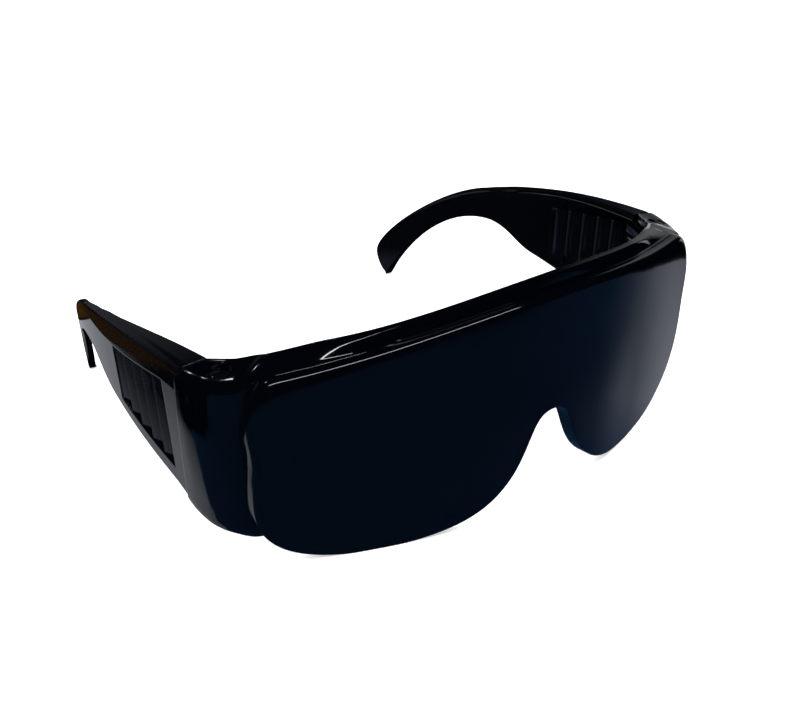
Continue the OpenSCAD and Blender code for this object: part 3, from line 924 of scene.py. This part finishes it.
def gloss_plastic(name, colour, tone, rough, dust, flow, shine=0.5):
    """Moulded glossy plastic: faint flow waves and handling marks, and a little dust.

    The colour drifts towards the tone, rough is the least roughness, dust the number of the dust
    pattern's cells along a metre, flow the strength of the waves and shine the specular level.
    """
    mat, desk = new_material(name)
    place = desk.node("ShaderNodeTexCoord", out=3)
    cloud = desk.node("ShaderNodeTexNoise", sockets={0: place, "Scale": 38.0, "Detail": 3.0})
    fine = desk.node("ShaderNodeTexNoise",
                     sockets={0: place, "Scale": 900.0, "Detail": 4.0, "Roughness": 0.7})
    smear = desk.node("ShaderNodeTexNoise",
                      sockets={0: place, "Scale": 95.0, "Detail": 5.0, "Distortion": 1.6})
    spots = desk.node("ShaderNodeTexVoronoi", {"feature": "F1"}, {0: place, "Scale": dust})
    which = Wire(desk, desk.last.outputs["Color"])
    pick = desk.node("ShaderNodeSeparateColor", sockets={0: which})
    chosen = pick > DUST_FREE
    speck = (spots < DUST_SIZE) * chosen
    base = desk.mix(cloud, (*colour, 1), (*tone, 1))
    base = desk.mix(speck * 0.25, base, DUST_GREY)
    dull = rough + smear * 0.03 + fine * 0.02 + speck * 0.12
    height = cloud * 0.8 + smear * 0.12 + fine * 0.01
    bump = desk.node("ShaderNodeBump",
                     sockets={"Strength": flow, "Distance": 0.0004, "Height": height})
    shader = desk.node("ShaderNodeBsdfPrincipled",
                       sockets={"Base Color": base, "Roughness": dull, "Normal": bump, "IOR": 1.5,
                                "Specular IOR Level": shine})
    desk.node("ShaderNodeOutputMaterial", sockets={0: shader})
    return mat


# Settings of the glasses and of the stage

def length(name, about, default, low, high):
    """A length in metres with its limits, all given in mm."""
    return bpy.props.FloatProperty(name=name, description=about, default=default * MM,
                                   min=low * MM, max=high * MM, unit="LENGTH", precision=5)


# Name, description and default in mm of each length
LENGTHS = [
    ("lens_width", "Width of the raised lens face", 144),
    ("lens_reach", "How far the lens stands ahead of the seam at the nose", 40),
    ("lens_sweep", "How far the lens sweeps back to its side edges", 22.2),
    ("lens_t", "Thickness of the lens wall", 2.8),
    ("lens_drop", "Depth of the lens below the seam level", 47.4),
    ("lens_corner", "Size of the lens's rounded upper corners", 9.5),
    ("bulge", "How far the lens face bulges between its upper and lower edges", 1.05),
    ("side_fore", "How far the lens's side edges stand ahead of its plan curve at the top", 2.0),
    ("side_bulge", "Further bulge of the lens's side edges at mid height", 0.7),
    ("side_flare", "How far the lens's side faces spread towards the wings", 1.8),
    ("low_fore", "How far the lens's middle stands forward round the nose notch", 1.15),
    ("nose_top", "Depth of the top of the nose notch below the seam level", 17.6),
    ("nose_half", "Half width of the nose notch on its flanks", 10.1),
    ("nose_flank", "Depth of the flanks' steepest point", 31.4),
    ("low_x", "Distance of the lens's lowest point from the middle", 46),
    ("brow_side", "Height of the brow at the lens's sides", 2.2),
    ("brow_rise", "Further rise of the brow in the middle", 10.8),
    ("ledge_t", "Thickness of the brow ledge", 2.2),
    ("ledge_mid", "Depth of the ledge in the middle", 5.2),
    ("ledge_gain", "Further depth of the ledge at the sides", 12.2),
    ("ledge_flare", "Further depth of the ledge next to the seam", 2.2),
    ("rear_end", "Distance from the middle at which the ledge's rear edge meets the seam", 70.4),
    ("lip_height", "Height of the raised lip on the ledge's rear edge", 3.2),
    ("lip_t", "Thickness of the lip", 1.8),
    ("wing_out", "Width of each wing beyond the lens's side edge", 6.2),
    ("wing_bend", "Distance ahead of the seam towards which the wing's corner bends", 8.5),
    ("wing_t", "Thickness of the wing wall", 1.6),
    ("wing_step", "Step from the lens face down to the wing", 2.1),
    ("wing_fall", "Drop of the top from the brow to the wing", 1.6),
    ("wing_fore", "How far the wing's lower edge stands forward next to the lens", 1.6),
    ("side_recess", "How much further the wing stands back from the lens's side edge below its top", 1.4),
    ("wing_draw", "How far the top of the wing's outer face is drawn in ahead of the seam", 1.0),
    ("seam_back", "How much further back the seam stands at its lower end than at the top", 3.3),
    ("pin_in", "Distance of the pin's axis from the wing's outer face", 7.7),
    ("pin_ahead", "Distance of the pin's axis ahead of the seam", 7.4),
    ("pin_r", "Radius of the pin's shaft", 1.5),
    ("head_r", "Radius of the pin's head", 2.35),
    ("knuckle_r", "Radius of the bosses and knuckles", 3.1),
    ("knuckle_h", "Height of each knuckle", 7.6),
    ("boss_drop", "Depth of the boss's underside below the seam level", 2.6),
    ("ear_depth", "Depth of the lower ear's underside below the seam level", 33.4),
    ("ear_t", "Thickness of the lower ear", 2.4),
    ("temple_inset", "How far the temple's face lies inside the wing's", 0.6),
    ("temple_t", "Thickness of the temple's wall", 2.2),
    ("bow_r", "Radius of the temple's inward bow", 264),
    ("hook_back", "Distance of the ear hook's rearmost point behind the seam", 112.6),
    ("hook_depth", "Depth of the ear hook's rearmost point", 49),
    ("tip_depth", "Depth of the ear hook's tip", 57.8),
    ("panel_front", "Depth of the side shield's lower edge at the seam", 37.7),
    ("panel_rear", "Depth of the side shield's lower rear corner", 30.2),
    ("panel_l", "Distance of that corner behind the seam", 45),
    ("waist_depth", "Depth of the arm's underside where it is narrowest", 23.9),
    ("flange_w", "Width of the top flange at the hinge", 8.4),
    ("flange_l", "Distance at which the flange has narrowed to the wall", 55),
    ("flange_t", "Thickness of the top flange", 2),
    ("vent_front", "Distance of the vent window behind the seam", 9),
    ("vent_length", "Length of the vent window", 30),
    ("vent_top", "Depth of the window's top below the temple's top edge", 6.2),
    ("vent_high_front", "Height of the window at its front", 25),
    ("vent_high_rear", "Height of the window at its rear", 15.6),
    ("stand_cut", "Depth of the small flats on which the glasses stand", 0.4),
]


class GlassesSizes(bpy.types.PropertyGroup):
    """Sizes of the glasses, as worn."""

    __annotations__ = {
        key: length(key.replace("_", " ").capitalize(), about, value, value * 0.5, value * 1.5)
        for key, about, value in LENGTHS}
    __annotations__["blade_count"] = bpy.props.IntProperty(
        name="Louvre blades", description="Number of louvre blades in each window",
        default=5, min=3, max=8)
    lengths = [key for key, _, _ in LENGTHS]


class GlassesColours(bpy.types.PropertyGroup):
    """Colours of the glasses' plastics."""

    lens: bpy.props.FloatVectorProperty(
        name="Lens", description="Dark tint of the one-piece shield", subtype="COLOR", size=3,
        min=0, max=1, default=(0.0002, 0.0004, 0.0010))
    temple: bpy.props.FloatVectorProperty(
        name="Temples", description="Black of the temples", subtype="COLOR", size=3,
        min=0, max=1, default=(0.0005, 0.0008, 0.0015))
    pin: bpy.props.FloatVectorProperty(
        name="Pins", description="Black of the hinge pins", subtype="COLOR", size=3,
        min=0, max=1, default=(0.0007, 0.0009, 0.0013))


class StageSizes(bpy.types.PropertyGroup):
    """The camera round the glasses and the floor under them."""

    azimuth: bpy.props.FloatProperty(
        name="Azimuth", description="Camera's turn about the upright",
        default=math.radians(-38.83), subtype="ANGLE")
    elevation: bpy.props.FloatProperty(
        name="Elevation", description="Camera's height over the glasses' own level",
        default=math.radians(30.52), subtype="ANGLE")
    roll: bpy.props.FloatProperty(
        name="Roll", description="Camera's turn about its view",
        default=math.radians(1.2), subtype="ANGLE")
    distance: bpy.props.FloatProperty(
        name="Distance", description="Camera's distance from its target",
        default=0.31288, unit="LENGTH")
    focal: bpy.props.FloatProperty(
        name="Focal length", description="Camera's lens, in mm", default=52.13)
    floor_size: bpy.props.FloatProperty(
        name="Floor size", description="Width of the pale floor", default=14.0, unit="LENGTH")


# The stage's reflections

BLACK = (0.0, 0.0, 0.0)
BLUE = (0.016, 0.050, 0.115)

# Sheets that only the gloss sees: name, height, ground and full colour, outline and fades. A fade
# is an axis, the places where it has none and all of the colour, a power and its least value.
SHEETS = [
    ("front_sheet", 0.0001, BLACK, BLUE,
     [(-0.130, 0.004), (-0.130, -0.026), (-0.19, -0.034), (-0.19, -0.21),
      (0.15, -0.21), (0.15, -0.03), (-0.085, -0.03), (-0.098, 0.004)],
     [("y", -0.21, -0.17, 1, 0), ("x", -0.19, -0.17, 1, 0)]),
    ("near_sheet", 0.0002, BLACK, (0.40, 0.42, 0.46),
     [(-0.124, 0.112), (-0.124, 0.028), (-0.1185, 0.028), (-0.117, 0.006),
      (-0.097, -0.020), (-0.091, -0.035), (-0.082, -0.042), (-0.062, -0.042),
      (-0.062, 0.088), (-0.050, 0.100), (-0.050, 0.112)],
     [("x", -0.114, -0.090, 1, 0.20)]),
    ("brown_board", 0.0002, BLACK, (0.046, 0.022, 0.005),
     [(-0.24, 0.094), (-0.125, 0.094), (-0.125, 0.114), (-0.05, 0.114),
      (-0.05, 0.30), (-0.24, 0.30)],
     [("y", 0.090, 0.106, 1, 0)]),
    ("inner_sheet", 0.0002, BLACK, (0.15, 0.16, 0.23),
     [(0.031, 0.074), (0.084, 0.074), (0.084, 0.13), (0.031, 0.13)],
     [("x", 0.031, 0.046, 1, 0)]),
    ("far_sheet", 0.0002, BLUE, (0.64, 0.65, 0.71),
     [(0.020, -0.120), (0.150, -0.120), (0.158, -0.075), (0.1645, -0.052),
      (0.185, -0.02), (0.25, -0.01), (0.80, -0.01), (0.80, 0.40), (0.085, 0.40),
      (0.085, 0.06), (0.045, 0.04), (0.045, -0.050), (0.020, -0.050)],
     [("y", -0.125, -0.030, 2.5, 0), ("x", 0.020, 0.060, 1, 0)]),
]

# Colours of the dark room by turn: 0.5 is straight behind, 0.75 the wearer's left and 0.25 the
# right, 0 and 1 the front
ROOM = [
    (0.0, BLACK),
    (0.40, BLACK),
    (0.46, (0.10, 0.11, 0.12)),
    (0.555, (0.07, 0.072, 0.08)),
    (0.578, (0.008, 0.01, 0.015)),
    (0.63, (0.012, 0.016, 0.022)),
    (0.662, (0.26, 0.28, 0.29)),
    (0.69, (0.32, 0.33, 0.33)),
    (0.715, BLACK),
    (1.0, BLACK),
]


# Operators

def full_form():
    """The form with the sizes that are set in the scene."""
    return Form(bpy.context.scene.glasses_sizes)


def dress(obj, mat, body, slot, *nodes):
    """Gives a piece its material, hangs it on the body it rides on and hides the CAD parts it stands for.
    """
    obj.data.materials.clear()
    obj.data.materials.append(mat)
    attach(obj, body)
    if nodes:
        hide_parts(*nodes)


class GLASSES_OT_shield(bpy.types.Operator):
    """Builds the one-piece front shield: lens, brow ledge with its lip, and side wings"""

    bl_idname = "glasses.shield"
    bl_label = "Front Shield"

    def execute(self, context):
        f = full_form()
        lens = Shell(f)
        lens_skin(f, lens)
        lens_obj = lens.made("shield_lens", weld=0.002)
        brow = Shell(f)
        wing_skin(f, brow)
        brow_obj = brow.made("shield_brow_and_wings")
        for side in SIDES.values():
            tool = Shell(f)
            tool.turned(dimple_profile(f), (side * f.pin_x, f.pin_y), 96)
            cut_away(brow_obj, tool.made("tool"))
        seats = Shell(f)
        hinge_seats(f, seats)
        seat_obj = seats.made("shield_hinge_seats")
        mat = gloss_plastic("shield_gloss", context.scene.glasses_colours.lens, TONES["lens"],
                            rough=0.045, dust=210.0, flow=0.18)
        for obj in (lens_obj, brow_obj, seat_obj):
            dress(obj, mat, "front", "shield", "front_shield")
        return {"FINISHED"}


class GLASSES_OT_temples(bpy.types.Operator):
    """Builds the two temples with their vent windows, louvre blades, flanges, knuckles and ear hooks"""

    bl_idname = "glasses.temples"
    bl_label = "Temples"

    def execute(self, context):
        f = full_form()
        black = context.scene.glasses_colours.temple
        gloss = gloss_plastic("temple_gloss", black, TONES["temple"], rough=0.05, dust=260.0, flow=0.15)
        # The blades get a copy of the temple plastic with a bluer tone and a weaker sheen. This is
        # painted shade and a painted bluish reflection on the louvre blades.
        blade_shade_gloss = gloss_plastic("blade_gloss", black, TONES["blade"], rough=0.05, dust=260.0, flow=0.15,
                            shine=0.2)
        for word, side in SIDES.items():
            wall, slats, hinge = Shell(f), Shell(f), Shell(f)
            blades(f, slats, temple_skin(f, wall))
            knuckles(f, hinge)
            for part, shell, mat in (("wall", wall, gloss), ("blades", slats, blade_shade_gloss),
                                     ("knuckles", hinge, gloss)):
                obj = shell.made("%s_temple_%s" % (word, part), side)
                dress(obj, mat, word + "_arm", "temple", word + "_temple")
        return {"FINISHED"}


class GLASSES_OT_pins(bpy.types.Operator):
    """Builds the four hinge pins with their domed heads"""

    bl_idname = "glasses.pins"
    bl_label = "Hinge Pins"

    def execute(self, context):
        f = full_form()
        mat = gloss_plastic("pin_gloss", context.scene.glasses_colours.pin, TONES["pin"],
                            rough=0.07, dust=300.0, flow=0.2)
        for word, side in SIDES.items():
            for place in ("upper", "lower"):
                shell = Shell(f)
                shell.turned(pin_profile(f, place == "upper"), (f.pin_x, f.pin_y), 64)
                name = "%s_%s_hinge_pin" % (word, place)
                dress(shell.made(name + "_piece", side), mat, "front", "pin", name)
        return {"FINISHED"}


def turned_vector(v, pitch):
    """A direction as worn, as it is when the glasses stand on the table."""
    c, s = math.cos(pitch), math.sin(pitch)
    return Vector((v[0], v[1] * c - v[2] * s, v[1] * s + v[2] * c))


class GLASSES_OT_stage(bpy.types.Operator):
    """Sets up the pale floor, the soft studio light and the camera"""

    bl_idname = "glasses.stage"
    bl_label = "Stage"

    def execute(self, context):
        scene = context.scene
        s = scene.glasses_stage
        f = full_form()
        a, e = s.azimuth, s.elevation
        back = Vector((math.sin(a) * math.cos(e), -math.cos(a) * math.cos(e), math.sin(e)))
        right = Vector((math.cos(a), math.sin(a), 0))
        up = back.cross(right)
        c, r = math.cos(s.roll), math.sin(s.roll)
        right, up = right * c + up * r, up * c - right * r
        target = Vector(f.seated(np.array([0, 0, AIM_LEVEL])).tolist())
        back, right, up = (turned_vector(v, f.pitch) for v in (back, right, up))
        cam = bpy.data.cameras.new("camera")
        cam.lens = s.focal
        cam.sensor_width = 36.0
        cam.shift_x = CAMERA_SHIFT
        cam.clip_start = 0.01
        obj = bpy.data.objects.new("camera", cam)
        obj.matrix_world = Matrix.Translation(target + back * s.distance) @ Matrix(
            [[right[i], up[i], back[i]] for i in range(3)]).to_4x4()
        scene.collection.objects.link(obj)
        scene.camera = obj
        self.floor(scene, s)
        self.sheets(scene)
        self.lights(scene)
        self.world(scene)
        scene.view_settings.view_transform = "Standard"
        return {"FINISHED"}

    def flat(self, scene, name, finish, corners):
        """A flat piece of the stage, and the desk of its new material."""
        mesh = bpy.data.meshes.new(name)
        mesh.from_pydata(corners, [], [tuple(range(len(corners)))])
        obj = bpy.data.objects.new(name, mesh)
        mat, desk = new_material(finish)
        mesh.materials.append(mat)
        scene.collection.objects.link(obj)
        return obj, desk

    def floor(self, scene, s):
        """The pale floor, which the gloss doesn't reflect."""
        h = s.floor_size / 2
        corners = [(-h, -h, 0), (h, -h, 0), (h, h, 0), (-h, h, 0)]
        obj, desk = self.flat(scene, "floor", "pale_floor", corners)
        obj.visible_glossy = False
        place = desk.node("ShaderNodeTexCoord", out=3)
        grain = desk.node("ShaderNodeTexNoise", sockets={0: place, "Scale": 400.0, "Detail": 3.0})
        base = desk.mix(grain, (0.90, 0.90, 0.90, 1), (0.93, 0.93, 0.93, 1))
        shader = desk.node("ShaderNodeBsdfPrincipled", sockets={
            "Base Color": base, "Roughness": 0.9, "Specular IOR Level": 0.0,
            "Emission Color": (1, 1, 1, 1), "Emission Strength": 0.45})
        desk.node("ShaderNodeOutputMaterial", sockets={0: shader})

    def sheets(self, scene):
        """The flat sheets that only the gloss sees."""
        for name, height, ground, colour, outline, fades in SHEETS:
            obj, desk = self.flat(scene, name, name, [(x, y, height) for x, y in outline])
            obj.visible_camera = False
            obj.visible_diffuse = False
            obj.visible_shadow = False
            place = desk.node("ShaderNodeTexCoord", out=3)
            desk.node("ShaderNodeSeparateXYZ", sockets={0: place})
            split = desk.last
            light = 1.0
            for axis, none, full, power, least in fades:
                along_axis = Wire(desk, split.outputs["xyz".index(axis)])
                part = desk.node("ShaderNodeMapRange", {},
                                 {0: along_axis, 1: none, 2: full, 3: least})
                light = part ** power * light
            glow = desk.mix(light, (*ground, 1), (*colour, 1))
            shader = desk.node("ShaderNodeEmission", sockets={0: glow, 1: 1.0})
            desk.node("ShaderNodeOutputMaterial", sockets={0: shader})

    def lights(self, scene):
        """A broad soft light overhead, a thin strip in front and a small card behind."""

        def area(name, place, aim, size, power, wide=None):
            """A white area light, size long and wide across, turned towards aim."""
            light = bpy.data.lights.new(name, "AREA")
            light.shape = "RECTANGLE"
            light.size = size
            light.size_y = wide or size
            light.energy = power
            o = bpy.data.objects.new(name, light)
            o.location = place
            o.rotation_euler = (Vector(aim) - Vector(place)).to_track_quat("-Z", "Y").to_euler()
            o.visible_camera = False
            scene.collection.objects.link(o)
            return o

        over = area("overhead_softbox", (0.0, 0.1, 1.6), (0, 0, 0), 2.4, 42.0)
        over.visible_glossy = False
        area("front_strip", (-0.10, -0.55, 0.75), (0, 0, 0.03), 0.9, 3.0, wide=0.05)
        area("rear_card", (-0.116, 0.412, 0.578), (-0.074, -0.008, 0.032), 0.03, 0.04, wide=0.02)

    def world(self, scene):
        """Pale to the camera, a dark room to the gloss, and plain grey to all else."""
        world = bpy.data.worlds.new("studio")
        scene.world = world
        world.use_nodes = True
        desk = Desk(world.node_tree)
        desk.node("ShaderNodeLightPath")
        path = desk.last
        shown, glossy = (Wire(desk, path.outputs[key]) for key in ("Is Camera Ray", "Is Glossy Ray"))
        place = desk.node("ShaderNodeTexCoord", out=0)
        x = desk.node("ShaderNodeSeparateXYZ", sockets={0: place})
        parts = desk.last
        y, z = Wire(desk, parts.outputs[1]), Wire(desk, parts.outputs[2])
        turn = desk.node("ShaderNodeMath", {"operation": "ARCTAN2"}, {0: x, 1: y})
        turn = turn * (0.5 / math.pi) + 0.5
        room = desk.node("ShaderNodeValToRGB", {"stops": ROOM}, {0: turn})
        smooth = {"interpolation_type": "SMOOTHSTEP"}
        rise = desk.node("ShaderNodeMapRange", smooth, {0: z, 1: -0.10, 2: -0.02})
        fall = desk.node("ShaderNodeMapRange", smooth, {0: z, 1: 0.34, 2: 0.52})
        seen = desk.mix(rise * (1 - fall), (0, 0, 0, 1), room)
        colour = desk.mix(glossy, (0.55, 0.55, 0.56, 1), seen)
        colour = desk.mix(shown, colour, (0.93, 0.93, 0.93, 1))
        back = desk.node("ShaderNodeBackground", sockets={0: colour, 1: 1.0})
        desk.node("ShaderNodeOutputWorld", sockets={0: back})


class GLASSES_PT_panel(bpy.types.Panel):
    """The steps that build the glasses"""

    bl_label = "Welding Glasses"
    bl_idname = "GLASSES_PT_panel"
    bl_space_type = "VIEW_3D"
    bl_region_type = "UI"
    bl_category = "Glasses"

    def draw(self, context):
        for step in STEPS:
            self.layout.operator(step.bl_idname)
        colours = context.scene.glasses_colours
        for key in ("lens", "temple", "pin"):
            self.layout.prop(colours, key)


STEPS = (GLASSES_OT_shield, GLASSES_OT_temples, GLASSES_OT_pins, GLASSES_OT_stage)
GROUPS = {
    "glasses_sizes": GlassesSizes,
    "glasses_colours": GlassesColours,
    "glasses_stage": StageSizes,
}
CLASSES = (*GROUPS.values(), *STEPS, GLASSES_PT_panel)


def register():
    """Makes the classes and their settings known to Blender."""
    for cls in CLASSES:
        bpy.utils.register_class(cls)
    for key, cls in GROUPS.items():
        setattr(bpy.types.Scene, key, bpy.props.PointerProperty(type=cls))


def unregister():
    """Takes the settings and classes away again."""
    for key in GROUPS:
        delattr(bpy.types.Scene, key)
    for cls in reversed(CLASSES):
        bpy.utils.unregister_class(cls)


def main():
    """Builds everything in order."""
    register()
    for step in STEPS:
        group, name = step.bl_idname.split(".")
        getattr(getattr(bpy.ops, group), name)()


if __name__ == "__main__":
    main()
